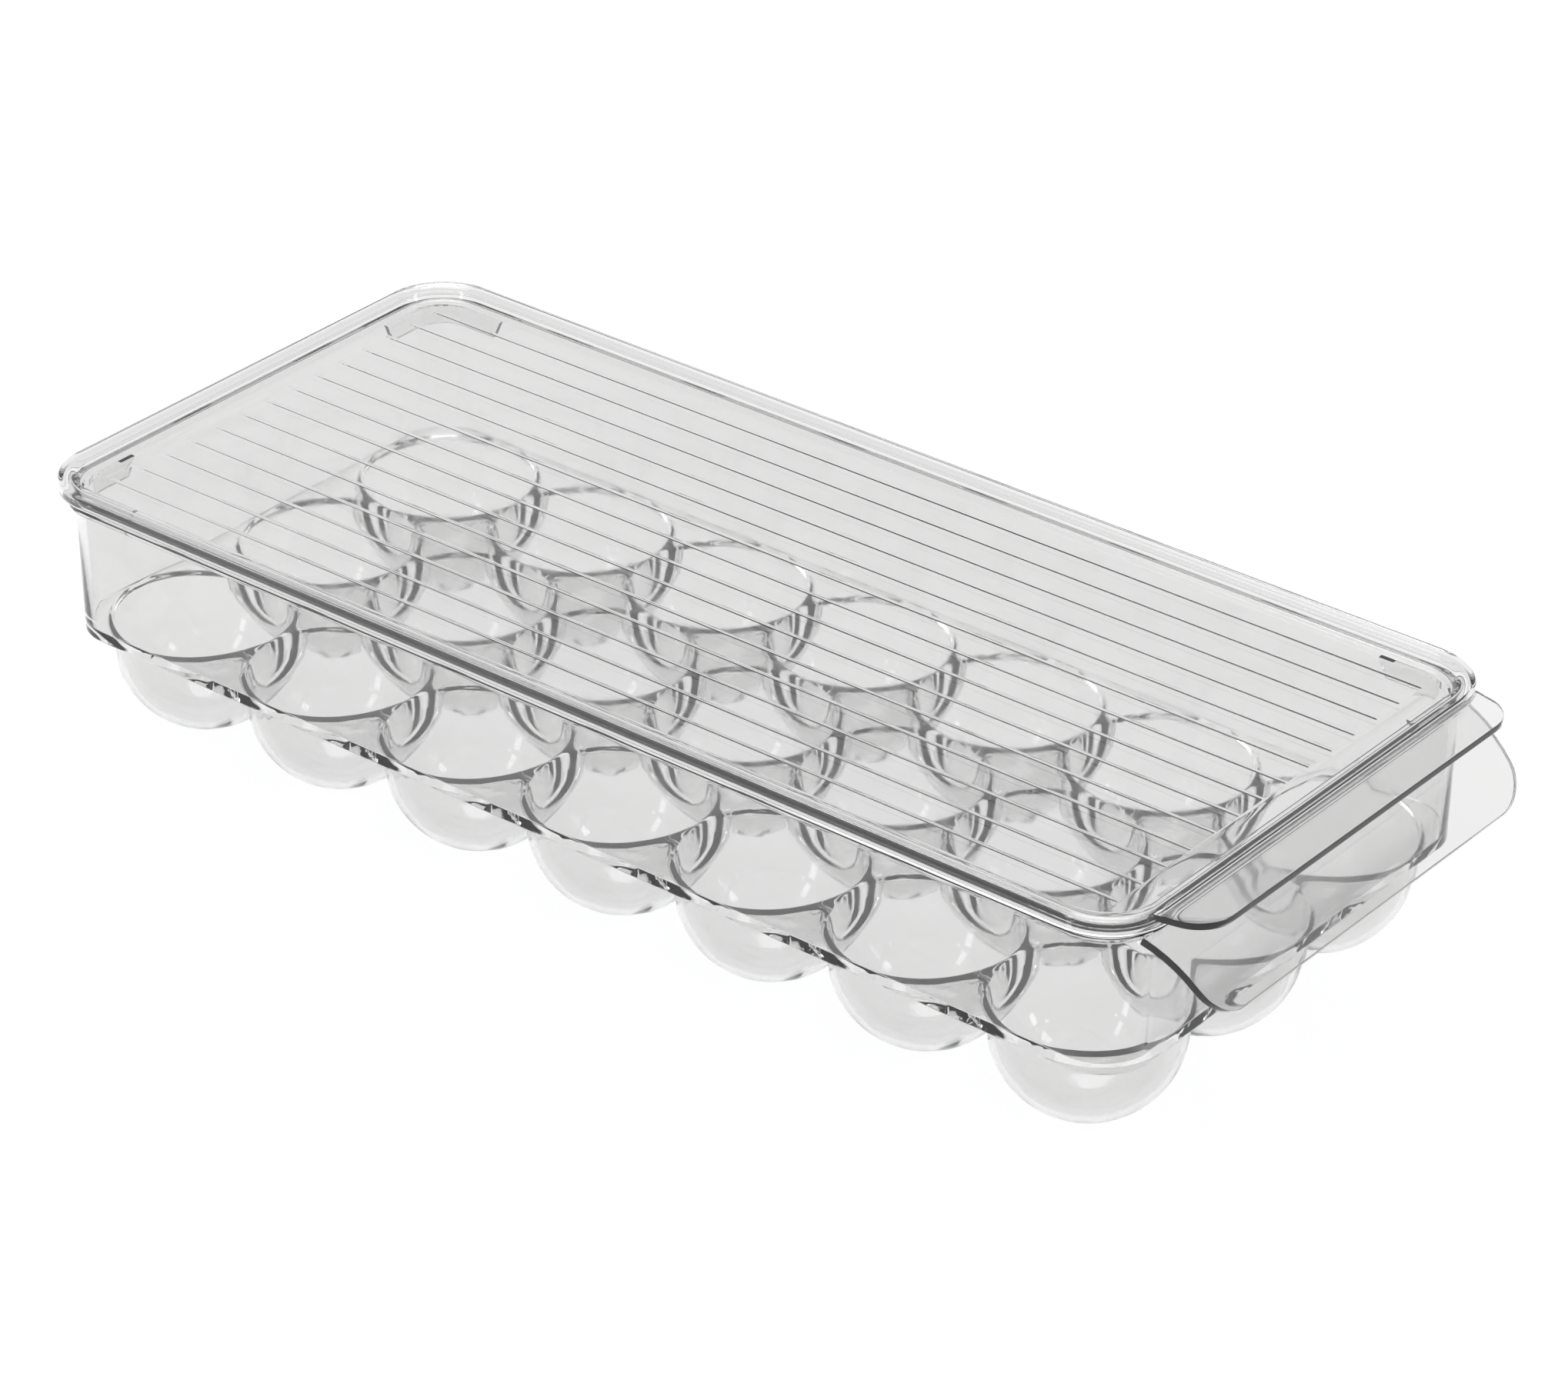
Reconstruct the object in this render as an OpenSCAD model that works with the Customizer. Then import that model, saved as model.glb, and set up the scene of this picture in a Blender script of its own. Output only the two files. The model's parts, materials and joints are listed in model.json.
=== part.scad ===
// Covered egg keeper: a clear tray of round-bottomed cups with a pull handle,
// and a clear lid with raised ribs that tips up about its rear edge.
// Millimetres. X is across (three cups), Y is along (seven cups, front at -Y), Z is up.

/* [Cups] */
// Distance from one cup centre to the next, both ways
cup_pitch = 48.5; // [47:0.1:52]
// Outer radius of a cup's round bottom
cup_r = 24.6; // [22:0.1:24.9]
// Thickness of the cups and their notches
cup_wall = 1.6; // [1:0.1:2.4]
// How much wider a cup is at the deck than at its middle
cup_flare = 1; // [0.6:0.1:1.6]
// Width of deck left outside the outermost cups
cup_edge = 0.8; // [0.3:0.1:2]
// Depth cut off the round bottom so that the cup stands flat
foot_flat = 0.2; // [0.1:0.05:0.6]
// Outer radius of the round notch between two cups
notch_r = 10.8; // [9.4:0.1:12]
// Height above the table of the middle of a notch's round
notch_z = 28.7; // [27.6:0.1:29.4]

/* [Tray] */
// Height of the deck's underside above the table
deck_height = 29.8; // [29:0.1:33]
// Thickness of the deck between the cups
deck_thick = 2.4; // [1.6:0.1:4]
// Height of the tray's top edge above the table
tray_height = 71.2; // [60:0.1:90]
// Thickness of the side walls
wall = 1.8; // [1.2:0.1:2.4]
// How far the walls lean out from the deck to the rim
draft = 0.7; // [0.2:0.1:2]
// Outer corner radius of the walls at the deck
corner_r = 13.5; // [8:0.5:20]
// How far the rim steps out from the wall
rim_step = 2.1; // [1:0.1:3]
// Height of the stepped rim band
rim_band = 3.2; // [2.4:0.1:6]

/* [Handle] */
// Radius of the handle's outward curve
handle_r = 34.5; // [26:0.5:40]
// Thickness of the handle
handle_thick = 2.2; // [1.6:0.1:3]
// Slope of the handle at its lower edge, in degrees from level
handle_slope = 63; // [50:1:75]
// Slope of the handle where it leaves the rim, in degrees from level
handle_start = 19; // [14:1:24]
// Half width of the handle at the rim
handle_half = 68.5; // [50:0.5:72]
// How much narrower the handle is at its lower edge, on each side
handle_taper = 3.5; // [0:0.5:8]
// Radius of the handle's lower corners
handle_corner = 10; // [4:0.5:12]

/* [Lid] */
// Thickness of the lid's flat panel
lid_thick = 2; // [1.4:0.1:3]
// How far the panel drops into the tray below the lid's seat
lid_drop = 0.8; // [0.4:0.1:2]
// How far the lid's edge reaches out past the foot of the walls
lid_over = 5; // [3.5:0.1:7]
// Height of the rounded bead above the lid's seat
bead_height = 4.4; // [3.4:0.1:7]
// Width of the rounded bead
bead_width = 5.4; // [4.5:0.1:7]
// Clearance between the lid and the tray at rest
seat_gap = 0.2; // [0.1:0.05:0.5]
// Clearance between the panel's edge and the rim it drops into
edge_gap = 0.5; // [0.3:0.05:1]

/* [Lid ribs] */
// Number of raised ribs along the panel
rib_count = 14; // [6:1:15]
// Distance between neighbouring ribs
rib_pitch = 9.8; // [6:0.1:10]
// Width of a rib
rib_width = 1.4; // [0.8:0.1:3]
// Height of a rib above the panel
rib_height = 0.6; // [0.3:0.1:1]
// Space left between a rib's end and the front or rear foot of the wall
rib_margin = 8.4; // [7:0.1:30]

/* [Pull lip] */
// How far the lip reaches out from the lid's front edge
lip_reach = 13; // [8:0.5:16]
// Thickness of the lip
lip_thick = 1.8; // [1.2:0.1:2.4]
// Half width of the lip where it leaves the lid
lip_half = 67; // [40:0.5:70]
// How much narrower the lip is at its front edge, on each side
lip_taper = 3; // [0:0.5:8]
// Radius of the lip's front corners
lip_corner = 8; // [3:0.5:10]

/* [Corner ribs] */
// How far the corner ribs hang below the panel
hang_depth = 5.5; // [3:0.1:8]
// Thickness of a corner rib
hang_thick = 1.4; // [1:0.1:2.4]
// Clearance between a corner rib and the wall inside the corner
hang_gap = 1.6; // [1:0.1:4]
// Length of a corner rib along the lid's short side, past the curve
hang_across = 12; // [6:0.5:30]
// Length of a corner rib along the lid's long side, past the curve
hang_along = 13; // [6:0.5:30]
// How much shorter a corner rib's end is at the bottom
hang_slant = 2.5; // [0:0.1:5]

/* [Hidden] */
$fn = 96;
across = 3;
along = 7;
eps = 0.01;
clear_tint = [0.86, 0.88, 0.89, 0.45];
// Cup heights
cup_c = cup_r - foot_flat;
deck_top = deck_height + deck_thick;
cup_top_r = cup_r + cup_flare;
// Outline of the tray at the foot of its walls, as half sizes
foot_w = (across - 1) / 2 * cup_pitch + cup_top_r + cup_edge;
foot_l = (along - 1) / 2 * cup_pitch + cup_top_r + cup_edge;
// Outward offsets from that outline
wall_out = draft;
rim_out = draft + rim_step;
rim_in = rim_out - wall;
band_z = tray_height - rim_band;
// Handle curve: centre of the arc, as distance out from the middle and height
arc_u = foot_l + rim_out - handle_r * sin(handle_start);
arc_z = tray_height - 2.3 - handle_r * cos(handle_start);
handle_end = arc_u + handle_r * sin(handle_slope);
handle_low = arc_z + (handle_r - handle_thick) * cos(handle_slope);
// Lid heights
seat_z = tray_height + seat_gap;
panel_z = seat_z - lid_drop;
panel_top = panel_z + lid_thick;
panel_out = rim_in - edge_gap;
bead_top = seat_z + bead_height;
// The origin lies in the middle of the whole length, handle included
shift_y = (handle_end - foot_l - lid_over) / 2;

function column_x(i) = (i - (across - 1) / 2) * cup_pitch;
function row_y(j) = (j - (along - 1) / 2) * cup_pitch;
// Points of a quarter arc about [cx, cy] from angle a to angle b
function arc(cx, cy, r, a, b, n) = [for (k = [0 : n]) [cx + r * cos(a + (b - a) * k / n), cy + r * sin(a + (b - a) * k / n)]];
// A plate outline that narrows away from y = 0 and has two rounded far corners
function tab(half, taper, reach, r, n) = concat(
    [[half, 0]],
    arc(half - taper - r, reach - r, r, 0, 90, n),
    arc(-half + taper + r, reach - r, r, 90, 180, n),
    [[-half, 0]]);

// Rounded rectangle, grown by out from the foot of the walls
module outline(out) {
    w = foot_w + out;
    l = foot_l + out;
    r = corner_r + out;
    square([2 * w, 2 * (l - r)], center = true);
    square([2 * (w - r), 2 * l], center = true);
    for (sx = [-1, 1], sy = [-1, 1])
        translate([sx * (w - r), sy * (l - r)]) circle(r);
}

// Carries a profile, drawn as offset and height, round the four sides and corners
module around() {
    sx = foot_w - corner_r;
    sy = foot_l - corner_r;
    for (a = [0, 180]) rotate(a) {
        translate([foot_w, sy, 0]) rotate([90, 0, 0]) linear_extrude(2 * sy) children();
        translate([sx, foot_l, 0]) rotate([90, 0, -90]) mirror([1, 0, 0]) rotate([0, 0, 0])
            linear_extrude(2 * sx) children();
        translate([sx, sy, 0]) rotate_extrude(angle = 90) translate([corner_r, 0]) children();
        translate([-sx, sy, 0]) rotate(90) rotate_extrude(angle = 90) translate([corner_r, 0]) children();
    }
}

// U-shaped section of a notch, open towards the deck
module notch_section(r, top) {
    circle(r);
    translate([-r, 0]) square([2 * r, top]);
}

// Space filled by one cup and by its notches towards the neighbours
module cup_space(r, rn, top, i, j) {
    translate([0, 0, cup_c]) {
        sphere(r);
        cylinder(h = top, r1 = r, r2 = r + cup_flare * top / (deck_top - cup_c));
        for (d = [0 : 3])
            if ((d == 0 && i < across - 1) || (d == 2 && i > 0) || (d == 1 && j < along - 1) || (d == 3 && j > 0))
                translate([0, 0, notch_z - cup_c]) rotate([90, 0, 90 + 90 * d])
                    linear_extrude(cup_pitch / 2 + 1) notch_section(rn, top + cup_c - notch_z);
    }
}

// One cup with its share of the deck, cut on the planes midway to its neighbours
module cup_cell(i, j) {
    x = column_x(i);
    y = row_y(j);
    x_low = i == 0 ? -foot_w - 5 : x - cup_pitch / 2;
    x_high = i == across - 1 ? foot_w + 5 : x + cup_pitch / 2;
    y_low = j == 0 ? -foot_l - 5 : y - cup_pitch / 2;
    y_high = j == along - 1 ? foot_l + 5 : y + cup_pitch / 2;
    color(clear_tint) translate([0, shift_y, 0]) difference() {
        intersection() {
            union() {
                translate([0, 0, deck_height]) linear_extrude(deck_thick) outline(0);
                translate([x, y, 0]) cup_space(cup_r, notch_r, deck_top - cup_c, i, j);
            }
            translate([x_low, y_low, 0]) cube([x_high - x_low, y_high - y_low, deck_top]);
        }
        translate([x, y, 0])
            cup_space(cup_r - cup_wall, notch_r - cup_wall, deck_top - cup_c + 2, i, j);
    }
}

// Side walls with the stepped rim
module wall_rim() {
    color(clear_tint) translate([0, shift_y, 0]) around() polygon([
        [0, deck_top], [wall_out, band_z - 0.5], [rim_out, band_z], [rim_out, tray_height],
        [rim_in, tray_height], [rim_in, band_z + 1], [wall_out - wall, band_z + 0.4], [-wall, deck_top]]);
}

// Draws its child, given as distance out from the middle and height, across the front
module across_front(w) {
    rotate([90, 0, -90]) linear_extrude(w, center = true) children();
}

// Scoop handle: a plate that curves out and down from the rim at the front
module pull_handle() {
    depth = tray_height - handle_low;
    root = foot_l + rim_out;
    w = 2 * handle_half;
    color(clear_tint) translate([0, shift_y, 0]) intersection() {
        difference() {
            union() {
                across_front(w) translate([arc_u, arc_z]) circle(handle_r, $fn = 180);
                across_front(w) polygon([[arc_u, arc_z], [root, tray_height - 0.4], [root + 1.2, tray_height - 0.6],
                    [root + 5, arc_z + sqrt(pow(handle_r, 2) - pow(root + 5 - arc_u, 2)) - 0.2]]);
            }
            across_front(w + 2) translate([arc_u, arc_z]) circle(handle_r - handle_thick, $fn = 180);
        }
        across_front(w + 4) polygon([[root, tray_height], [root, arc_z], [arc_u, arc_z],
            [arc_u + 2 * handle_r * sin(handle_slope), arc_z + 2 * handle_r * cos(handle_slope)],
            [arc_u + 2 * handle_r, tray_height]]);
        translate([0, 0, tray_height]) rotate([-90, 0, 0]) translate([0, 0, -handle_end - 5])
            linear_extrude(handle_end) polygon(tab(handle_half, handle_taper, depth, handle_corner, 8));
    }
}

// Lid: ribbed panel inside a rounded bead, with a pull lip at the front
module lid() {
    in = lid_over - bead_width;
    color(clear_tint) translate([0, shift_y, 0]) {
        translate([0, 0, panel_z]) linear_extrude(lid_thick) outline(panel_out);
        around() polygon(concat(
            [[in - 1, panel_top - 0.5], [lid_over - 0.4, seat_z], [lid_over, seat_z + 0.4]],
            arc(lid_over - 2.2, bead_top - 2.2, 2.2, 0, 90, 5),
            arc(in + 1.6, bead_top - 1.6, 1.6, 90, 150, 3),
            [[in - 1, panel_top]]));
        translate([0, 0, seat_z]) linear_extrude(lid_thick - lid_drop) difference() {
            outline(lid_over - 0.4);
            outline(in);
        }
        for (k = [0 : rib_count - 1])
            translate([(k - (rib_count - 1) / 2) * rib_pitch, 0, panel_top - 0.2]) linear_extrude(rib_height + 0.2) {
                square([rib_width, 2 * (foot_l - rib_margin) - rib_width], center = true);
                for (s = [-1, 1]) translate([0, s * (foot_l - rib_margin - rib_width / 2)]) circle(rib_width / 2);
            }
        translate([0, -foot_l - lid_over + 1.5, bead_top - lip_thick - 0.2]) mirror([0, 1, 0])
            linear_extrude(lip_thick) polygon(tab(lip_half, lip_taper, lip_reach + 1.5, lip_corner, 8));
    }
}

// Locating rib that hangs below the lid and follows one corner of the tray
module corner_rib(sx, sy) {
    out = wall_out - wall - hang_gap;
    r = corner_r + out;
    x = foot_w - corner_r;
    y = foot_l - corner_r;
    color(clear_tint) translate([0, shift_y, 0]) mirror([sx < 0 ? 1 : 0, 0, 0]) mirror([0, sy < 0 ? 1 : 0, 0]) {
        translate([x, y, panel_z - hang_depth]) rotate_extrude(angle = 90)
            translate([r - hang_thick, 0]) square([hang_thick, hang_depth]);
        translate([x, y + r, panel_z]) rotate([90, 0, 0]) linear_extrude(hang_thick) polygon([
            [0, 0], [-hang_across, 0], [-hang_across + hang_slant, -hang_depth], [0, -hang_depth]]);
        translate([x + r - hang_thick, y, panel_z]) rotate([90, 0, 90]) linear_extrude(hang_thick) polygon([
            [0, 0], [-hang_along, 0], [-hang_along + hang_slant, -hang_depth], [0, -hang_depth]]);
    }
}

wall_rim();
pull_handle();
cup_cell(0, 0);  // cup_a1
cup_cell(1, 0);  // cup_a2
cup_cell(2, 0);  // cup_a3
cup_cell(0, 1);  // cup_b1
cup_cell(1, 1);  // cup_b2
cup_cell(2, 1);  // cup_b3
cup_cell(0, 2);  // cup_c1
cup_cell(1, 2);  // cup_c2
cup_cell(2, 2);  // cup_c3
cup_cell(0, 3);  // cup_d1
cup_cell(1, 3);  // cup_d2
cup_cell(2, 3);  // cup_d3
cup_cell(0, 4);  // cup_e1
cup_cell(1, 4);  // cup_e2
cup_cell(2, 4);  // cup_e3
cup_cell(0, 5);  // cup_f1
cup_cell(1, 5);  // cup_f2
cup_cell(2, 5);  // cup_f3
cup_cell(0, 6);  // cup_g1
cup_cell(1, 6);  // cup_g2
cup_cell(2, 6);  // cup_g3
lid();
corner_rib(-1, -1);  // corner_rib_front_left
corner_rib(1, -1);  // corner_rib_front_right
corner_rib(-1, 1);  // corner_rib_rear_left
corner_rib(1, 1);  // corner_rib_rear_right
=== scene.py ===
# %% [markdown]
# # A clear egg keeper with a lid that tips up
# The real thing is two clear mouldings: a tray of round cups with a scoop handle, and a ribbed lid.
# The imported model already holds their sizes, so this lesson loads it first.
# After that it adds a camera, a white studio and the clear plastic, and models both mouldings anew as
# smooth one-piece skins, because clear plastic shows every seam that a model has inside it.

import bmesh
import bpy
import json
import math
import numpy as np
from mathutils import Matrix, Vector


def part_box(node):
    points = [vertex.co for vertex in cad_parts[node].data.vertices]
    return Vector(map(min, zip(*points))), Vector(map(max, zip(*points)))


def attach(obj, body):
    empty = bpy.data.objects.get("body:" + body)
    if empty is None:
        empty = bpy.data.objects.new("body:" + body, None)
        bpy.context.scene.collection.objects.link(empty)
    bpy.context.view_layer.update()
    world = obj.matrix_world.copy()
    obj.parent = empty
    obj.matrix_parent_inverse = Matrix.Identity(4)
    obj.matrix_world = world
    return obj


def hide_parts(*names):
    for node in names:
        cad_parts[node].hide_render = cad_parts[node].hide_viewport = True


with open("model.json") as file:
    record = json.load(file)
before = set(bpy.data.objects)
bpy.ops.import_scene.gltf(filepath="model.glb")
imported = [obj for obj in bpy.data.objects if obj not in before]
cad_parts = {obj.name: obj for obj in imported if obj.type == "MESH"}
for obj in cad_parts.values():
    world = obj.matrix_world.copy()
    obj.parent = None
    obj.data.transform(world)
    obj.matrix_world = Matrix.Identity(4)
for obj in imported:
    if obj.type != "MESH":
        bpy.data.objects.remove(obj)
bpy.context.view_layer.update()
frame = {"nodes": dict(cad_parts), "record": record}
MM = 0.001

# %% [markdown]
# ## The camera
# A product photo is taken from far away with a long lens, so that the long sides stay nearly parallel.
# The place below was worked out from the lid's ribs and the cups, which are evenly spaced.

# %% Camera place and lens
LOOK_AZ, LOOK_EL, LOOK_ROLL = math.radians(-51.34), math.radians(30.25), math.radians(0.45)
EYE = Vector((-0.98543, -0.79253, 0.77792))
LENS_MM, SENSOR_MM = 131.2, 36
CLIP_END = 20


def look_axes(az, el, roll):
    back = Vector((math.sin(az) * math.cos(el), -math.cos(az) * math.cos(el), math.sin(el)))
    right = Vector((math.cos(az), math.sin(az), 0))
    up = back.cross(right)
    right, up = right * math.cos(roll) + up * math.sin(roll), up * math.cos(roll) - right * math.sin(roll)
    return right, up, back


right, up, back = look_axes(LOOK_AZ, LOOK_EL, LOOK_ROLL)
camera_data = bpy.data.cameras.new("photo_camera")
camera_data.lens = LENS_MM
camera_data.sensor_width = SENSOR_MM
camera_data.sensor_fit = "HORIZONTAL"
camera_data.clip_end = CLIP_END
camera = bpy.data.objects.new("photo_camera", camera_data)
camera.matrix_world = Matrix((right, up, back)).transposed().to_4x4()
camera.matrix_world.translation = EYE
bpy.context.scene.collection.objects.link(camera)
bpy.context.scene.camera = camera
print("camera at", tuple(round(v, 3) for v in EYE))

# %% [markdown]
# ## A white studio
# Clear plastic has almost no colour of its own: what you see is the room bent through it.
# The room is white where the camera looks and greyer at its sides, so that thick edges come out grey.

# %% Node helpers
def new_material(name):
    mat = bpy.data.materials.new(name)
    mat.use_nodes = True
    mat.node_tree.nodes.clear()
    return mat, mat.node_tree


def add(tree, kind, **values):
    node = tree.nodes.new(kind)
    for key, value in values.items():
        setattr(node, key, value)
    return node


# %% World light
SKY_STOPS = ((0.0, 1.0), (0.42, 0.92), (0.52, 0.85), (0.66, 0.86), (0.82, 0.92), (1.0, 0.95))
world = bpy.data.worlds.new("studio_world")
bpy.context.scene.world = world
world.use_nodes = True
wt = world.node_tree
wt.nodes.clear()
w_out = add(wt, "ShaderNodeOutputWorld")
w_bg = add(wt, "ShaderNodeBackground")
w_seen = add(wt, "ShaderNodeBackground")
w_mix = add(wt, "ShaderNodeMixShader")
w_path = add(wt, "ShaderNodeLightPath")
w_geo = add(wt, "ShaderNodeNewGeometry")
w_xyz = add(wt, "ShaderNodeSeparateXYZ")
w_ramp = add(wt, "ShaderNodeValToRGB")
w_map = add(wt, "ShaderNodeMapRange")
w_map.inputs["From Min"].default_value = 1
w_map.inputs["From Max"].default_value = -1
wt.links.new(w_geo.outputs["Incoming"], w_xyz.inputs[0])
wt.links.new(w_xyz.outputs["Z"], w_map.inputs["Value"])
wt.links.new(w_map.outputs["Result"], w_ramp.inputs["Fac"])
stops = w_ramp.color_ramp.elements
for place, grey in SKY_STOPS:
    stop = stops[0] if place == 0 else stops[-1] if place == 1 else stops.new(place)
    stop.color = (grey, grey, grey, 1)
wt.links.new(w_ramp.outputs["Color"], w_bg.inputs["Color"])
w_seen.inputs["Color"].default_value = (1, 1, 1, 1)
wt.links.new(w_path.outputs["Is Camera Ray"], w_mix.inputs["Fac"])
wt.links.new(w_bg.outputs[0], w_mix.inputs[1])
wt.links.new(w_seen.outputs[0], w_mix.inputs[2])
wt.links.new(w_mix.outputs[0], w_out.inputs["Surface"])

# %% Floor
FLOOR_HALF, FLOOR_GREY, FLOOR_GLOW = 3, 0.93, 0.86
floor_mesh = bpy.data.meshes.new("floor")
floor_corners = [(x * FLOOR_HALF, y * FLOOR_HALF, 0) for x, y in ((-1, -1), (1, -1), (1, 1), (-1, 1))]
floor_mesh.from_pydata(floor_corners, [], [(0, 1, 2, 3)])
floor = bpy.data.objects.new("floor", floor_mesh)
bpy.context.scene.collection.objects.link(floor)
floor_mat, ft = new_material("white_sweep")
f_out = add(ft, "ShaderNodeOutputMaterial")
f_diff = add(ft, "ShaderNodeBsdfDiffuse")
f_diff.inputs["Color"].default_value = (FLOOR_GREY, FLOOR_GREY, FLOOR_GREY, 1)
f_glow = add(ft, "ShaderNodeEmission")
f_glow.inputs["Color"].default_value = (1, 1, 1, 1)
f_mix = add(ft, "ShaderNodeMixShader")
f_path = add(ft, "ShaderNodeLightPath")
f_seen = add(ft, "ShaderNodeMath", operation="MAXIMUM")
f_share = add(ft, "ShaderNodeMath", operation="MULTIPLY")
f_share.inputs[1].default_value = FLOOR_GLOW
ft.links.new(f_path.outputs["Is Camera Ray"], f_seen.inputs[0])
ft.links.new(f_path.outputs["Is Transmission Ray"], f_seen.inputs[1])
ft.links.new(f_seen.outputs[0], f_share.inputs[0])
ft.links.new(f_share.outputs[0], f_mix.inputs["Fac"])
ft.links.new(f_diff.outputs[0], f_mix.inputs[1])
ft.links.new(f_glow.outputs[0], f_mix.inputs[2])
ft.links.new(f_mix.outputs[0], f_out.inputs["Surface"])
floor_mesh.materials.append(floor_mat)


# %% Soft lamps
def soft_lamp(name, place, aim, size, watts):
    data = bpy.data.lights.new(name, "AREA")
    data.shape = "RECTANGLE"
    data.size, data.size_y = size
    data.energy = watts
    lamp = bpy.data.objects.new(name, data)
    lamp.location = place
    lamp.rotation_euler = (Vector(aim) - Vector(place)).to_track_quat("-Z", "Y").to_euler()
    bpy.context.scene.collection.objects.link(lamp)


soft_lamp("overhead_box", (0.1, 0.3, 1.5), (0, 0, 0), (1.2, 0.8), 9)
soft_lamp("front_strip", (0.5, -1.4, 0.7), (0, 0, 0.03), (0.25, 1.0), 4)
soft_lamp("left_strip", (-1.4, 0.3, 0.6), (0, 0, 0.03), (0.2, 1.2), 3)

# %% [markdown]
# ## The clear plastic
# Clear plastic bends light about as much as window glass does. Each wall takes a little of the light,
# so places with many walls behind each other look greyer. Lamps must shine through to the floor, so
# shadow rays see a pale Transparent shader in place of the solid plastic, which would throw a dark shadow.

# %% Moulded ripple, shared by both parts
WAVE_DETAIL, FINE_SCALE, FINE_SPAN = 1.5, 260, (0.35, 0.75)
ripple = bpy.data.node_groups.new("moulded_ripple", "ShaderNodeTree")
for socket, start in (("Scale", 18), ("Rough low", 0.01), ("Rough high", 0.06)):
    ripple.interface.new_socket(socket, in_out="INPUT", socket_type="NodeSocketFloat").default_value = start
ripple.interface.new_socket("Height", in_out="OUTPUT", socket_type="NodeSocketFloat")
ripple.interface.new_socket("Roughness", in_out="OUTPUT", socket_type="NodeSocketFloat")
g_in = add(ripple, "NodeGroupInput")
g_out = add(ripple, "NodeGroupOutput")
g_at = add(ripple, "ShaderNodeTexCoord")
g_wave = add(ripple, "ShaderNodeTexNoise")
g_wave.inputs["Detail"].default_value = WAVE_DETAIL
g_fine = add(ripple, "ShaderNodeTexNoise")
g_fine.inputs["Scale"].default_value = FINE_SCALE
g_range = add(ripple, "ShaderNodeMapRange")
g_range.inputs["From Min"].default_value, g_range.inputs["From Max"].default_value = FINE_SPAN
ripple.links.new(g_at.outputs["Object"], g_wave.inputs["Vector"])
ripple.links.new(g_at.outputs["Object"], g_fine.inputs["Vector"])
ripple.links.new(g_in.outputs["Scale"], g_wave.inputs["Scale"])
ripple.links.new(g_fine.outputs["Fac"], g_range.inputs["Value"])
ripple.links.new(g_in.outputs["Rough low"], g_range.inputs["To Min"])
ripple.links.new(g_in.outputs["Rough high"], g_range.inputs["To Max"])
ripple.links.new(g_wave.outputs["Fac"], g_out.inputs["Height"])
ripple.links.new(g_range.outputs["Result"], g_out.inputs["Roughness"])


# %% One clear material with its own values for each part
PLASTIC_IOR = 1.5
BUMP_STRENGTH, BUMP_DISTANCE = 0.25, 0.0006
SHADOW_TINT = (0.95, 0.955, 0.96, 1)


def clear_plastic(name, tint, scale, low, high):
    mat, tree = new_material(name)
    out = add(tree, "ShaderNodeOutputMaterial")
    solid = add(tree, "ShaderNodeBsdfPrincipled")
    solid.inputs["Base Color"].default_value = (*tint, 1)
    solid.inputs["IOR"].default_value = PLASTIC_IOR
    solid.inputs["Transmission Weight"].default_value = 1
    waves = add(tree, "ShaderNodeGroup")
    waves.node_tree = ripple
    waves.inputs["Scale"].default_value = scale
    waves.inputs["Rough low"].default_value = low
    waves.inputs["Rough high"].default_value = high
    bump = add(tree, "ShaderNodeBump")
    bump.inputs["Strength"].default_value = BUMP_STRENGTH
    bump.inputs["Distance"].default_value = BUMP_DISTANCE
    tree.links.new(waves.outputs["Height"], bump.inputs["Height"])
    tree.links.new(bump.outputs[0], solid.inputs["Normal"])
    tree.links.new(waves.outputs["Roughness"], solid.inputs["Roughness"])
    lets = add(tree, "ShaderNodeBsdfTransparent")
    lets.inputs["Color"].default_value = SHADOW_TINT
    path = add(tree, "ShaderNodeLightPath")
    mix = add(tree, "ShaderNodeMixShader")
    tree.links.new(path.outputs["Is Shadow Ray"], mix.inputs["Fac"])
    tree.links.new(solid.outputs[0], mix.inputs[1])
    tree.links.new(lets.outputs[0], mix.inputs[2])
    tree.links.new(mix.outputs[0], out.inputs["Surface"])
    return mat


tray_clear = clear_plastic("tray_clear_plastic", (0.845, 0.844, 0.842), 18, 0.02, 0.06)
lid_clear = clear_plastic("lid_clear_plastic", (0.872, 0.871, 0.87), 14, 0.02, 0.07)

# %% [markdown]
# ## Sizes of the tray
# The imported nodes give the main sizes, in metres. The lesson works in millimetres, as a mould maker does,
# and turns them into metres when a mesh is made.

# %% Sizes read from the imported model
def node_box(name):
    low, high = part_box(name)
    return [v / MM for v in low], [v / MM for v in high]


middle_low, middle_high = node_box("cup_d2")
PITCH = middle_high[0] - middle_low[0]
MID_Y = (middle_low[1] + middle_high[1]) / 2
DECK_TOP = middle_high[2]
corner_low, _ = node_box("cup_a1")
FOOT_W, FOOT_L = -corner_low[0], MID_Y - corner_low[1]
_, rim_high = node_box("wall_rim")
TRAY_TOP = rim_high[2]
RIM_OUT = rim_high[0] - FOOT_W
ACROSS, ALONG = 3, 7
print("pitch", round(PITCH, 2), "deck", round(DECK_TOP, 2), "foot", round(FOOT_W, 2), round(FOOT_L, 2))

# %% Sizes of the moulding's details
CUP_R, CUP_WALL, CUP_FLARE = 24.6, 1.6, 1.0
FOOT_FLAT = 0.2
CUP_Z = CUP_R - FOOT_FLAT
WEB_R, WEB_Z = 10.8, 28.7
DECK_THICK, WALL, DRAFT, CORNER_R = 2.4, 1.8, 0.7, 13.5
RIM_BAND = 3.2
CUP_REACH = FOOT_W - (ACROSS - 1) / 2 * PITCH
SOFT = 1.0

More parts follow.
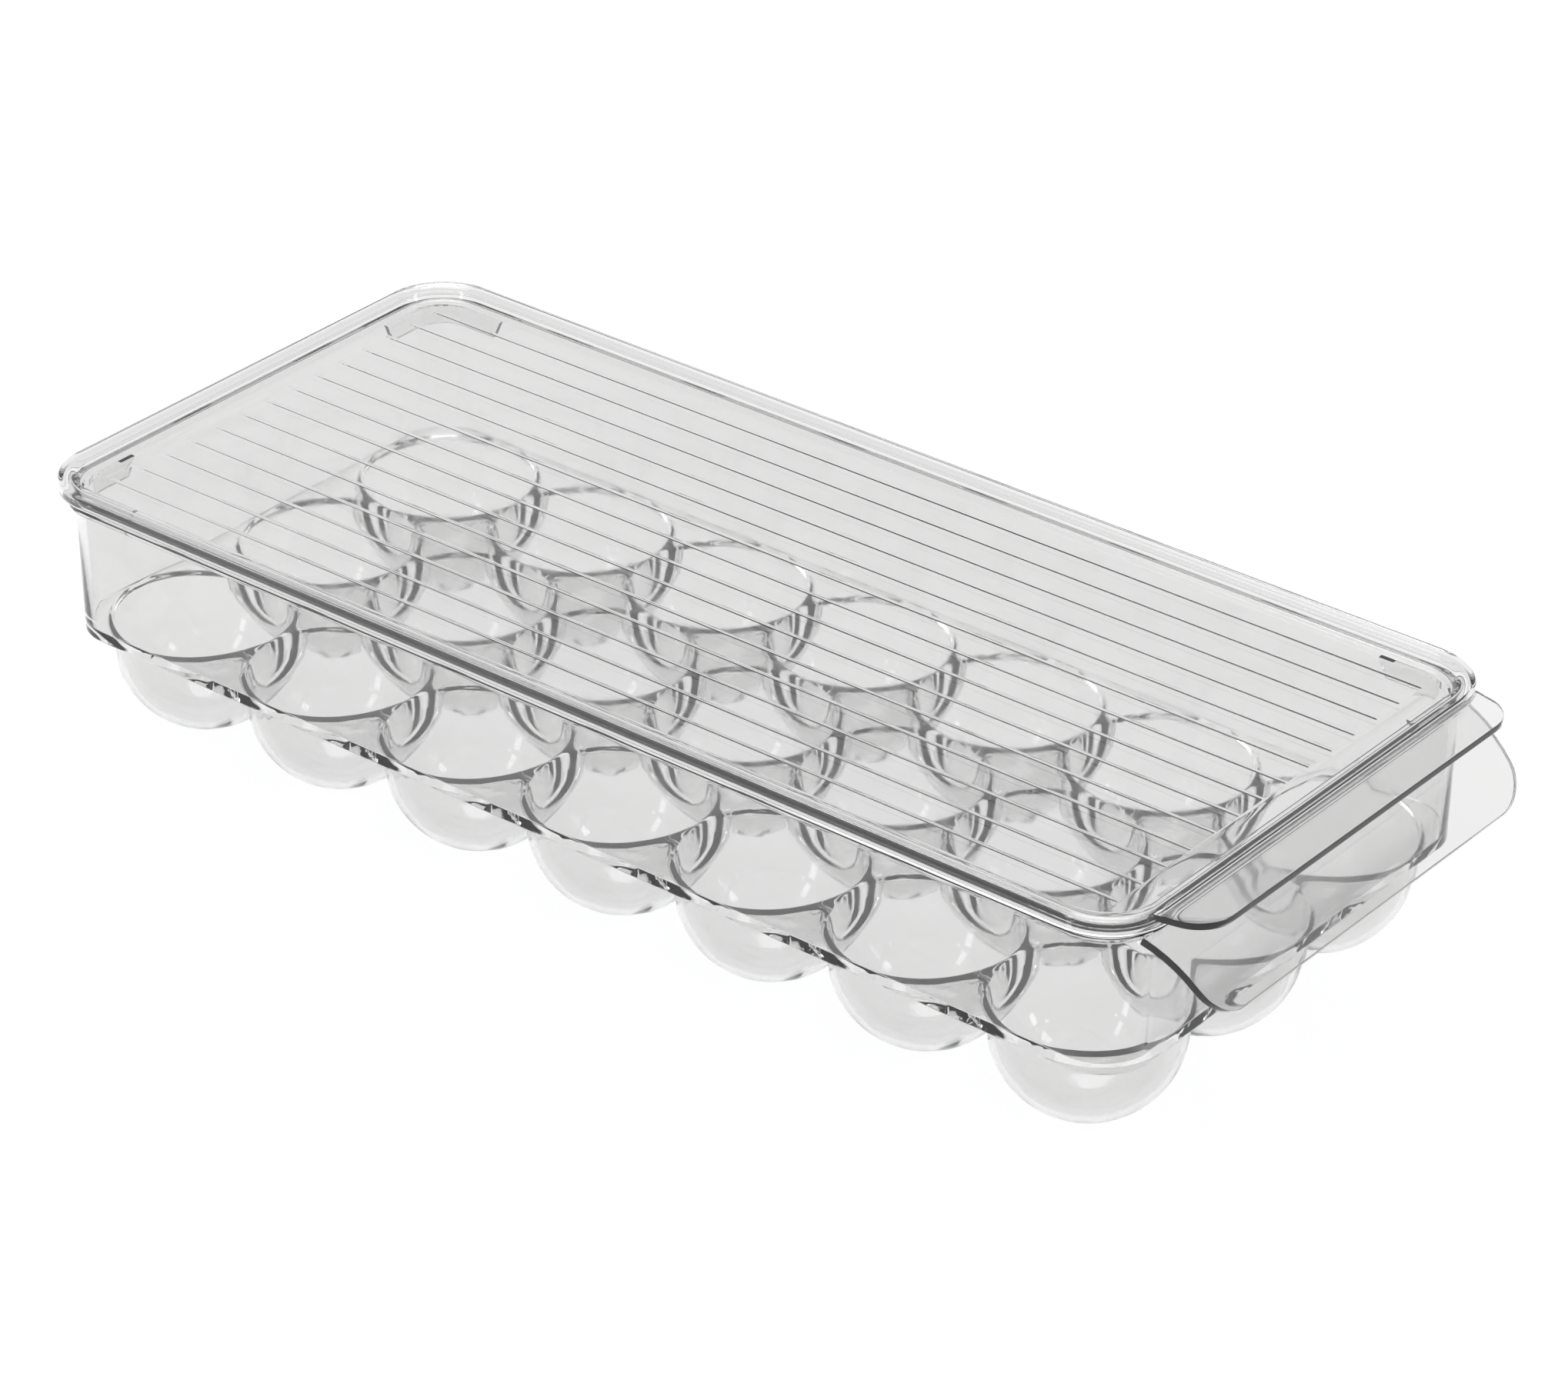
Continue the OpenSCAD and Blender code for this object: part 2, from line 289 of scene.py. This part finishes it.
# %% [markdown]
# ## The cups as one soft skin
# A moulded cup has no sharp edges: its rim rolls over into the deck. Below the deck a solid web with a round
# lower edge fills the narrow gap between two cups.
# Such forms are easy to write down as distances. One formula says how far a point lies from a cup's
# round hollow, one from the web, and one from the air above the deck. A smooth union of them
# rolls their edges over. Rays from a point above each cup then find the skin, and each ray's hits become a
# line of the mesh. The same function with larger radii gives the underside.

# %% Distance to a cup's upper or lower skin
def smooth_union(a, b, soft):
    h = np.clip(0.5 + 0.5 * (b - a) / soft, 0, 1)
    return b + (a - b) * h - soft * h * (1 - h)


def cup_distance(x, y, z, radius):
    rho = np.hypot(x, y)
    round_part = np.hypot(rho, z - CUP_Z) - radius
    flared = rho - radius - CUP_FLARE * (z - CUP_Z) / (DECK_TOP - CUP_Z)
    return np.where(z < CUP_Z, round_part, flared)


def skin_distance(x, y, z, inset, deck, open_sides):
    """Distance above a skin that lies inset deep inside the cup's outside; inset 0 is the underside."""
    dist = smooth_union(cup_distance(x, y, z, CUP_R - inset), deck - z, SOFT)
    for ux, uy in open_sides:
        if inset > 0:
            other = cup_distance(x - ux * PITCH, y - uy * PITCH, z, CUP_R - inset)
        else:
            aside = np.abs(x * uy - y * ux)
            web = np.where(z < WEB_Z, np.hypot(aside, z - WEB_Z), aside) - WEB_R
            other = np.maximum(web, -x * ux - y * uy)
        dist = smooth_union(dist, other, SOFT)
    return dist


# %% Border points of one cup's square
SIDES = ((1, 0), (0, 1), (-1, 0), (0, -1))
CUP_STEPS = [0.8, 1.8, 3, 4.5, 6.5, 9, 12, 15.5, 19.5]
WEB_ANGLES, WEB_STEPS = (15, 30, 45, 60, 72, 81, 87), (0.03, 0.25, 0.7, 3.5)
WALL_STEPS, TURN_STEPS = 13, 15


def side_steps(inset):
    """Distances from a web's middle line at which the border gets a point."""
    if inset > 0:
        return CUP_STEPS
    round_steps = [WEB_R * math.sin(math.radians(a)) for a in WEB_ANGLES]
    return round_steps + [WEB_R + step for step in WEB_STEPS]


def cell_border(i, j, inset, out):
    """Points round cup (i, j), anticlockwise: place, and foot point with its normal where a wall stands."""
    outer = (i == ACROSS - 1, j == ALONG - 1, i == 0, j == 0)
    reach = [CUP_REACH if wall else PITCH / 2 for wall in outer]
    points = []
    for d in range(4):
        u, v = np.array(SIDES[d], float), np.array(SIDES[(d + 1) % 4], float)
        after = (d + 1) % 4
        if outer[d]:
            low = -reach[d - 1] + (CORNER_R if outer[d - 1] else 0)
            high = reach[after] - (CORNER_R if outer[after] else 0)
            for t in np.linspace(low, high, WALL_STEPS)[1:]:
                foot = u * reach[d] + v * t
                points.append((foot + u * out, foot, u))
            if outer[after]:
                centre = u * (reach[d] - CORNER_R) + v * (reach[after] - CORNER_R)
                for a in np.linspace(0, math.pi / 2, TURN_STEPS)[1:]:
                    normal = u * math.cos(a) + v * math.sin(a)
                    foot = centre + normal * CORNER_R
                    points.append((foot + normal * out, foot, normal))
        else:
            steps = side_steps(inset)
            for t in [-s for s in reversed(steps)] + [0] + steps:
                points.append((u * reach[d] + v * t, None, None))
            corner = u * reach[d] + v * reach[after]
            if outer[after]:
                points.append((corner + v * out, corner, v))
            else:
                points.append((corner, None, None))
    return points


# %% Lines of one cup's skin, from its lowest point to its border
RINGS = 20
EYE_Z = 62.0
RAYS, WIDEST_TILT, RAY_START = 360, 54, 5.0
MARCHES, MARCH_SHARE = 46, 0.92
EVEN_STEPS, LENGTH_SHARE, TURN_SHARE = 240, 0.4, 0.6
LOWEST_Z = 0.05


def skin_lines(points, inset, deck, open_sides):
    """For each border point, RINGS + 1 places on the skin."""
    ends = np.array([p[0] for p in points])
    length = np.hypot(ends[:, 0], ends[:, 1])
    ways = ends / length[:, None]
    tilt = np.radians(np.linspace(0, WIDEST_TILT, RAYS))
    far = np.full((len(ends), len(tilt)), RAY_START)
    sin, cos = np.sin(tilt)[None, :], np.cos(tilt)[None, :]
    for _ in range(MARCHES):
        rho = far * sin
        x, y, z = rho * ways[:, :1], rho * ways[:, 1:], EYE_Z - far * cos
        far = far - MARCH_SHARE * skin_distance(x, y, z, inset, deck, open_sides)
    rho, height = far * sin, EYE_Z - far * cos
    lines = []
    for k in range(len(ends)):
        inside = rho[k] < length[k]
        r = np.append(rho[k][inside], length[k])
        z = np.append(height[k][inside], np.interp(length[k], rho[k], height[k]))
        run = np.append(0, np.cumsum(np.hypot(np.diff(r), np.diff(z))))
        even = np.linspace(0, run[-1], EVEN_STEPS)
        r, z = np.interp(even, run, r), np.interp(even, run, z)
        heading = np.unwrap(np.arctan2(np.gradient(z), np.gradient(r)))
        turned = np.append(0, np.cumsum(np.abs(np.diff(heading))))
        weight = LENGTH_SHARE * even / even[-1] + TURN_SHARE * turned / turned[-1]
        at = np.interp(np.linspace(0, 1, RINGS + 1), weight, even)
        r, z = np.interp(at, even, r), np.interp(at, even, z)
        lines.append(np.column_stack((r * ways[k, 0], r * ways[k, 1], np.maximum(z, LOWEST_Z))))
    return lines


# %% [markdown]
# ## The walls and the rim
# The walls and the rim have one section all the way round, so a list of its corners is enough. Each corner is
# rounded a little, as in a real mould, because sharp edges in clear plastic look black and hard.

# %% Rounded corners of a section
ROUND_SHARE = 0.45


def rounded(corners, radii, steps):
    """Section corners with the inner ones rounded, as a list of points."""
    points = [corners[0]]
    for before, here, after, radius in zip(corners, corners[1:], corners[2:], radii):
        a, b, c = Vector(before), Vector(here), Vector(after)
        start = b + (a - b).normalized() * min(radius, (a - b).length * ROUND_SHARE)
        end = b + (c - b).normalized() * min(radius, (c - b).length * ROUND_SHARE)
        for k in range(steps + 1):
            t = k / steps
            points.append(tuple(start * (1 - t) ** 2 + b * 2 * t * (1 - t) + end * t ** 2))
    points.append(corners[-1])
    return points


DECK_IN, DECK_OUT = -WALL - 0.3, -0.4
DECK_UNDER = DECK_TOP - DECK_THICK
band_z = TRAY_TOP - RIM_BAND
rim_in = RIM_OUT - WALL
wall_corners = [
    (DECK_IN, DECK_TOP), (-WALL, DECK_TOP + 0.1), (DRAFT - WALL, band_z + 0.4), (rim_in, band_z + 1),
    (rim_in, TRAY_TOP), (RIM_OUT, TRAY_TOP), (RIM_OUT, band_z), (DRAFT, band_z - 0.5),
    (0, DECK_TOP - 0.4), (0, DECK_UNDER), (DECK_OUT, DECK_UNDER)]
wall_section = rounded(wall_corners, (0.3, 0.8, 0.6, 0.5, 0.6, 0.5, 0.8, 1.0, 0.4), 2)[1:-1]


# %% Put the tray together
def finish_mesh(name, bm, mat, sharp_degrees):
    """Bmesh in millimetres to a smooth object at the origin."""
    bmesh.ops.scale(bm, vec=(MM, MM, MM), verts=bm.verts)
    mesh = bpy.data.meshes.new(name)
    bm.to_mesh(mesh)
    bm.free()
    mesh.materials.append(mat)
    mesh.shade_smooth()
    mesh.set_sharp_from_angle(angle=math.radians(sharp_degrees))
    obj = bpy.data.objects.new(name, mesh)
    bpy.context.scene.collection.objects.link(obj)
    return obj


def add_skin(bm, lines, centre, upward):
    """Rings of one cup as faces, with the pole closed."""
    pole = bm.verts.new((centre[0], centre[1], lines[0][0][2]))
    rows = []
    for line in lines:
        rows.append([pole] + [bm.verts.new((p[0] + centre[0], p[1] + centre[1], p[2])) for p in line[1:]])
    for here, there in zip(rows, rows[1:] + rows[:1]):
        for k in range(RINGS):
            loop = [here[k], here[k + 1], there[k + 1], there[k]]
            if k == 0:
                loop = loop[:3]
            bm.faces.new(loop if upward else loop[::-1])
    return rows


def add_wall(bm, borders, rows, centre):
    """Wall faces between neighbouring foot points, from the deck's inside to its underside."""
    runs = []
    for points, ends in zip(borders, rows):
        runs.append([(p, row[-1]) for p, row in zip(points, ends) if p[1] is not None])
    columns = []
    for ((_, foot, normal), inner), (_, outer) in zip(*runs):
        column = [inner]
        for out, z in wall_section:
            place = foot + normal * out + centre
            column.append(bm.verts.new((place[0], place[1], z)))
        columns.append((foot, column + [outer]))
    for (foot, here), (next_foot, there) in zip(columns, columns[1:] + columns[:1]):
        if np.hypot(*(foot - next_foot)) < PITCH / 4:
            for k in range(len(here) - 1):
                bm.faces.new((here[k], here[k + 1], there[k + 1], there[k]))


TRAY_SHARP, WELD = 50, 0.02
tray_bm = bmesh.new()
for j in range(ALONG):
    for i in range(ACROSS):
        centre = np.array(((i - (ACROSS - 1) / 2) * PITCH, (j - (ALONG - 1) / 2) * PITCH + MID_Y))
        outer = (i == ACROSS - 1, j == ALONG - 1, i == 0, j == 0)
        open_sides = [side for side, wall in zip(SIDES, outer) if not wall]
        rows = []
        borders = []
        for inset, deck, out in ((CUP_WALL, DECK_TOP, DECK_IN), (0, DECK_UNDER, DECK_OUT)):
            points = cell_border(i, j, inset, out)
            rows.append(add_skin(tray_bm, skin_lines(points, inset, deck, open_sides), centre, inset > 0))
            borders.append(points)
        add_wall(tray_bm, borders, rows, centre)
bmesh.ops.remove_doubles(tray_bm, verts=tray_bm.verts, dist=WELD)
open_edges = sum(1 for e in tray_bm.edges if len(e.link_faces) != 2)
tray_piece = finish_mesh("tray_moulding", tray_bm, tray_clear, TRAY_SHARP)
print("tray faces", len(tray_piece.data.polygons), "open edges", open_edges)

# %% [markdown]
# ## The scoop handle
# The handle is a plate that leaves the rim almost level and curves down, so that fingers can hook behind it.
# A grid of rows along the arc gives its outside. Solidify gives it its thickness and Bevel rolls its edges.

# %% Handle
HANDLE_R, HANDLE_THICK = 34.5, 2.2
HANDLE_START, HANDLE_ROOT, HANDLE_SLOPE = 17.5, 19.0, 63.0
HANDLE_DROP = 2.3
HANDLE_HALF, HANDLE_TAPER, HANDLE_CORNER = 68.5, 3.5, 10.0
handle_low, _ = node_box("pull_handle")
HANDLE_Y = handle_low[1] + HANDLE_R * math.sin(math.radians(HANDLE_SLOPE))
HANDLE_Z = TRAY_TOP - HANDLE_DROP - HANDLE_R * math.cos(math.radians(HANDLE_ROOT))
PLATE_HALF, PLATE_SHARP = 12, 60
ROLL_SHARE, ROLL_STEPS, ROLL_ANGLE = 0.42, 5, 50


def tab_half(along, reach, half, taper, corner):
    """Half width of a plate that narrows towards its far, rounded end."""
    left = reach - along
    cut = corner - math.sqrt(max(corner ** 2 - max(corner - left, 0) ** 2, 0))
    return half - taper * along / reach - cut


def tab_steps(reach, corner):
    """Places along a plate at which it gets a row, close together round its far corners."""
    turns = [reach - corner + corner * math.sin(math.radians(a)) for a in range(10, 91, 10)]
    return [(reach - corner) * k / 5 for k in range(6)] + turns


def plate(name, rows, thick, mat):
    """Solid plate from rows of points, with rolled edges."""
    bm = bmesh.new()
    grid = [[bm.verts.new(p) for p in row] for row in rows]
    for here, there in zip(grid, grid[1:]):
        for k in range(len(here) - 1):
            bm.faces.new((here[k], here[k + 1], there[k + 1], there[k]))
    obj = finish_mesh(name, bm, mat, 180)
    solid = obj.modifiers.new("thickness", "SOLIDIFY")
    solid.thickness = thick * MM
    solid.offset = -1
    solid.use_even_offset = True
    roll = obj.modifiers.new("rolled_edges", "BEVEL")
    roll.width = ROLL_SHARE * thick * MM
    roll.segments = ROLL_STEPS
    roll.limit_method = "ANGLE"
    roll.angle_limit = math.radians(ROLL_ANGLE)
    return obj


def make_plain(obj, sharp_degrees):
    """Applies the modifiers and keeps the result as the object's own mesh."""
    bpy.context.view_layer.update()
    ready = obj.evaluated_get(bpy.context.evaluated_depsgraph_get())
    mesh = bpy.data.meshes.new_from_object(ready)
    mesh.name = obj.name
    obj.modifiers.clear()
    obj.data = mesh
    mesh.shade_smooth()
    mesh.set_sharp_from_angle(angle=math.radians(sharp_degrees))
    return obj


ARC = math.radians(HANDLE_SLOPE - HANDLE_START) * HANDLE_R
handle_rows = []
for along in tab_steps(ARC, HANDLE_CORNER):
    a = math.radians(HANDLE_START) + along / HANDLE_R
    half = tab_half(along, ARC, HANDLE_HALF, HANDLE_TAPER, HANDLE_CORNER)
    y, z = HANDLE_Y - HANDLE_R * math.sin(a), HANDLE_Z + HANDLE_R * math.cos(a)
    handle_rows.append([(half * k / PLATE_HALF, y, z) for k in range(PLATE_HALF, -PLATE_HALF - 1, -1)])
handle_piece = make_plain(plate("pull_handle_moulding", handle_rows, HANDLE_THICK, tray_clear), PLATE_SHARP)
print("handle faces", len(handle_piece.data.polygons))

# %% [markdown]
# ## The lid
# The lid is a flat panel inside a hollow rounded bead, whose underside is a groove over the tray's rim.
# Its section goes round the same outline as the tray's walls, and the two flat faces close it.

# %% Lid shell
lid_low, lid_high = node_box("lid")
LID_OVER = lid_high[0] - FOOT_W
SEAT_GAP, PANEL_DROP, PANEL_RISE = 0.2, 0.8, 1.2
SEAT_Z = TRAY_TOP + SEAT_GAP
PANEL_Z, PANEL_TOP = SEAT_Z - PANEL_DROP, SEAT_Z + PANEL_RISE
LID_SHARP, LID_ROUND_STEPS, LID_TURN_STEPS = 21, 7, 16
BEAD_TOP = lid_high[2]
lid_corners = [
    (-1.9, PANEL_TOP), (-0.9, PANEL_TOP), (0.3, BEAD_TOP), (LID_OVER, BEAD_TOP), (LID_OVER, SEAT_Z),
    (LID_OVER - 1.5, SEAT_Z), (LID_OVER - 1.9, BEAD_TOP - 1.9), (1.3, BEAD_TOP - 1.9), (0.9, SEAT_Z),
    (rim_in - 0.5, SEAT_Z), (rim_in - 0.5, PANEL_Z), (-1.9, PANEL_Z)]
lid_section = rounded(lid_corners, (0.5, 1.6, 2.2, 0.4, 0.4, 0.8, 0.8, 0.3, 0.3, 0.4), LID_ROUND_STEPS)


def outline_points(steps):
    """Foot points and normals round the whole outline, anticlockwise."""
    points = []
    for d in range(4):
        u, v = np.array(SIDES[d], float), np.array(SIDES[(d + 1) % 4], float)
        size = (FOOT_W, FOOT_L, FOOT_W, FOOT_L)
        centre = u * (size[d] - CORNER_R) + v * (size[(d + 1) % 4] - CORNER_R)
        for a in np.linspace(0, math.pi / 2, steps + 1):
            normal = u * math.cos(a) + v * math.sin(a)
            points.append((centre + normal * CORNER_R, normal))
    return points


lid_bm = bmesh.new()
rings = [[lid_bm.verts.new((*(foot + normal * out + (0, MID_Y)), z))
    for foot, normal in outline_points(LID_TURN_STEPS)] for out, z in lid_section]
for upper, lower in zip(rings, rings[1:]):
    for k in range(len(upper)):
        n = (k + 1) % len(upper)
        lid_bm.faces.new((upper[k], lower[k], lower[n], upper[n]))
lid_bm.faces.new(rings[0])
lid_bm.faces.new(rings[-1][::-1])
lid_piece = finish_mesh("lid_moulding", lid_bm, lid_clear, LID_SHARP)
print("lid faces", len(lid_piece.data.polygons))

# %% Pull lip
LIP_HALF, LIP_TAPER, LIP_CORNER, LIP_THICK = 67.0, 3.0, 8.0, 1.8
LIP_OVERLAP, LIP_BELOW = 1.5, 0.2
lip_root = MID_Y - FOOT_L - LID_OVER + LIP_OVERLAP
LIP_REACH = lip_root - lid_low[1]
LIP_Z = BEAD_TOP - LIP_BELOW
lip_rows = []
for along in tab_steps(LIP_REACH, LIP_CORNER):
    half = tab_half(along, LIP_REACH, LIP_HALF, LIP_TAPER, LIP_CORNER)
    lip_rows.append([(half * k / PLATE_HALF, lip_root - along, LIP_Z)
        for k in range(PLATE_HALF, -PLATE_HALF - 1, -1)])
lip_piece = make_plain(plate("pull_lip", lip_rows, LIP_THICK, lid_clear), PLATE_SHARP)


# %% Locating ribs under the corners
HANG_THICK, HANG_SLANT, HANG_GAP = 1.4, 2.5, 1.6
HANG_ACROSS, HANG_ALONG, HANG_ROOT, HANG_SHARP = 12, 13, 0.3, 30


def corner_rib(name, sx, sy):
    """Low wall that follows one corner of the tray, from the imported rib's own box."""
    low, high = node_box(name)
    depth = high[2] - low[2]
    out = DRAFT - WALL - HANG_GAP
    centre = Vector((sx * (FOOT_W - CORNER_R), MID_Y + sy * (FOOT_L - CORNER_R)))
    path = [(Vector((-HANG_ACROSS, CORNER_R + out)), Vector((0, 1)), HANG_SLANT)]
    for a in np.linspace(90, 0, 9):
        way = Vector((math.cos(math.radians(a)), math.sin(math.radians(a))))
        path.append((way * (CORNER_R + out), way, 0))
    path.append((Vector((CORNER_R + out, -HANG_ALONG)), Vector((1, 0)), HANG_SLANT))
    bm = bmesh.new()
    loops = []
    for k, (place, way, cut) in enumerate(path):
        loop = []
        for inward, drop in ((0, 0), (HANG_THICK, 0), (HANG_THICK, depth), (0, depth)):
            at = place - way * inward
            if drop and cut:
                at = at + Vector((cut, 0) if k == 0 else (0, cut))
            x, y = centre.x + sx * at.x, centre.y + sy * at.y
            loop.append(bm.verts.new((x, y, PANEL_Z + HANG_ROOT - drop)))
        loops.append(loop)
    for here, there in zip(loops, loops[1:]):
        for k in range(4):
            n = (k + 1) % 4
            bm.faces.new((here[k], here[n], there[n], there[k]))
    bm.faces.new(loops[0])
    bm.faces.new(loops[-1])
    bmesh.ops.recalc_face_normals(bm, faces=bm.faces)
    return finish_mesh(name + "_moulding", bm, lid_clear, HANG_SHARP)


corner_pieces = [corner_rib("corner_rib_" + name, sx, sy) for name, sx, sy in (
    ("front_left", -1, -1), ("front_right", 1, -1), ("rear_left", -1, 1), ("rear_right", 1, 1))]

# %% [markdown]
# ## The lid's raised ribs
# Fourteen thin ribs run along the panel. They are all alike, so Geometry Nodes suits them: one stretched
# sphere is placed on the points of a line. Its two halves are moved apart, which leaves a round end on
# each side.

# %% Rib tree
RIB_SEGMENTS, RIB_RINGS, RIB_DEPTH = 36, 7, 1.0
rib_tree = bpy.data.node_groups.new("lid_ribs", "GeometryNodeTree")
rib_sizes = (("Count", "NodeSocketInt", 14), ("Pitch", "NodeSocketFloat", 9.8 * MM),
    ("Half width", "NodeSocketFloat", 1.4 * MM), ("Depth", "NodeSocketFloat", RIB_DEPTH * MM),
    ("Half length", "NodeSocketFloat", 0.16), ("Material", "NodeSocketMaterial", None))
rib_id = {}
for label, kind, start in rib_sizes:
    socket = rib_tree.interface.new_socket(label, in_out="INPUT", socket_type=kind)
    rib_id[label] = socket.identifier
    if start is not None:
        socket.default_value = start
rib_tree.interface.new_socket("Geometry", in_out="OUTPUT", socket_type="NodeSocketGeometry")
n_in = add(rib_tree, "NodeGroupInput")
n_out = add(rib_tree, "NodeGroupOutput")
n_ball = add(rib_tree, "GeometryNodeMeshUVSphere")
n_ball.inputs["Segments"].default_value = RIB_SEGMENTS
n_ball.inputs["Rings"].default_value = RIB_RINGS
n_ball.inputs["Radius"].default_value = 1
n_turn = add(rib_tree, "GeometryNodeTransform")
n_turn.inputs["Rotation"].default_value = (math.pi / 2, 0, 0)
n_size = add(rib_tree, "ShaderNodeCombineXYZ")
n_scale = add(rib_tree, "GeometryNodeTransform")
n_move = add(rib_tree, "GeometryNodeSetPosition")
n_place = add(rib_tree, "GeometryNodeInputPosition")
n_split = add(rib_tree, "ShaderNodeSeparateXYZ")
n_sign = add(rib_tree, "ShaderNodeMath", operation="SIGN")
n_shift = add(rib_tree, "ShaderNodeMath", operation="MULTIPLY")
n_along = add(rib_tree, "ShaderNodeCombineXYZ")
n_line = add(rib_tree, "GeometryNodeMeshLine", mode="OFFSET")
n_step = add(rib_tree, "ShaderNodeCombineXYZ")
n_less = add(rib_tree, "ShaderNodeMath", operation="SUBTRACT")
n_less.inputs[1].default_value = 1
n_first = add(rib_tree, "ShaderNodeMath", operation="MULTIPLY")
n_half = add(rib_tree, "ShaderNodeMath", operation="MULTIPLY")
n_half.inputs[1].default_value = -0.5
n_start = add(rib_tree, "ShaderNodeCombineXYZ")
n_put = add(rib_tree, "GeometryNodeInstanceOnPoints")
n_real = add(rib_tree, "GeometryNodeRealizeInstances")
n_mat = add(rib_tree, "GeometryNodeSetMaterial")
link = rib_tree.links.new
link(n_ball.outputs["Mesh"], n_turn.inputs["Geometry"])
link(n_in.outputs["Half width"], n_size.inputs["X"])
link(n_in.outputs["Half width"], n_size.inputs["Y"])
link(n_in.outputs["Depth"], n_size.inputs["Z"])
link(n_size.outputs[0], n_scale.inputs["Scale"])
link(n_turn.outputs[0], n_scale.inputs["Geometry"])
link(n_place.outputs[0], n_split.inputs[0])
link(n_split.outputs["Y"], n_sign.inputs[0])
link(n_sign.outputs[0], n_shift.inputs[0])
link(n_in.outputs["Half length"], n_shift.inputs[1])
link(n_shift.outputs[0], n_along.inputs["Y"])
link(n_scale.outputs[0], n_move.inputs["Geometry"])
link(n_along.outputs[0], n_move.inputs["Offset"])
link(n_in.outputs["Count"], n_line.inputs["Count"])
link(n_in.outputs["Pitch"], n_step.inputs["X"])
link(n_step.outputs[0], n_line.inputs["Offset"])
link(n_in.outputs["Count"], n_less.inputs[0])
link(n_less.outputs[0], n_first.inputs[0])
link(n_in.outputs["Pitch"], n_first.inputs[1])
link(n_first.outputs[0], n_half.inputs[0])
link(n_half.outputs[0], n_start.inputs["X"])
link(n_start.outputs[0], n_line.inputs["Start Location"])
link(n_line.outputs[0], n_put.inputs["Points"])
link(n_move.outputs[0], n_put.inputs["Instance"])
link(n_put.outputs[0], n_real.inputs["Geometry"])
link(n_real.outputs[0], n_mat.inputs["Geometry"])
link(n_in.outputs["Material"], n_mat.inputs["Material"])
link(n_mat.outputs[0], n_out.inputs["Geometry"])

# %% Ribs on the panel
RIB_MARGIN, RIB_END, RIB_RISE, RIB_SHARP = 8.4, 1.0, 0.18, 30
ribs = bpy.data.objects.new("raised_ribs", bpy.data.meshes.new("raised_ribs"))
bpy.context.scene.collection.objects.link(ribs)
grow = ribs.modifiers.new("ribs", "NODES")
grow.node_group = rib_tree
grow[rib_id["Half length"]] = (FOOT_L - RIB_MARGIN - RIB_END) * MM
grow[rib_id["Material"]] = lid_clear
make_plain(ribs, RIB_SHARP)
for vertex in ribs.data.vertices:
    vertex.co += Vector((0, MID_Y, PANEL_TOP + RIB_RISE - RIB_DEPTH)) * MM
print("rib faces", len(ribs.data.polygons))

# %% [markdown]
# ## Melt the lid's parts into one
# Two clear shapes that only overlap show the seam between them. A Boolean union leaves one clean skin.

# %% Union
def melt(base, parts, sharp_degrees):
    """Joins closed shapes into base and deletes them."""
    for part in parts:
        union = base.modifiers.new("union", "BOOLEAN")
        union.operation = "UNION"
        union.solver = "MANIFOLD"
        union.object = part
    make_plain(base, sharp_degrees)
    for part in parts:
        bpy.data.objects.remove(part)


melt(lid_piece, [ribs, lip_piece] + corner_pieces, LID_SHARP)
print("lid faces after the union", len(lid_piece.data.polygons))
melt(tray_piece, [handle_piece], TRAY_SHARP)
print("tray faces after the union", len(tray_piece.data.polygons))

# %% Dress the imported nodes
LID_NODES = list(frame["record"]["behaviour"]["bodies"]["lid"])
for name, obj in frame["nodes"].items():
    mat = lid_clear if name in LID_NODES else tray_clear
    for slot in obj.material_slots:
        slot.material = mat
    if not obj.material_slots:
        obj.data.materials.append(mat)
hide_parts(*[name for name in frame["nodes"] if name not in LID_NODES])
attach(tray_piece, "tray")
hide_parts(*LID_NODES)
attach(lid_piece, "lid")
print("dressed", len(frame["nodes"]), "nodes")

# %% Light paths long enough for many clear walls
BOUNCES = 24
scene = bpy.context.scene
scene.cycles.max_bounces = BOUNCES
scene.cycles.transmission_bounces = BOUNCES
scene.cycles.transparent_max_bounces = BOUNCES
scene.view_settings.view_transform = "Standard"
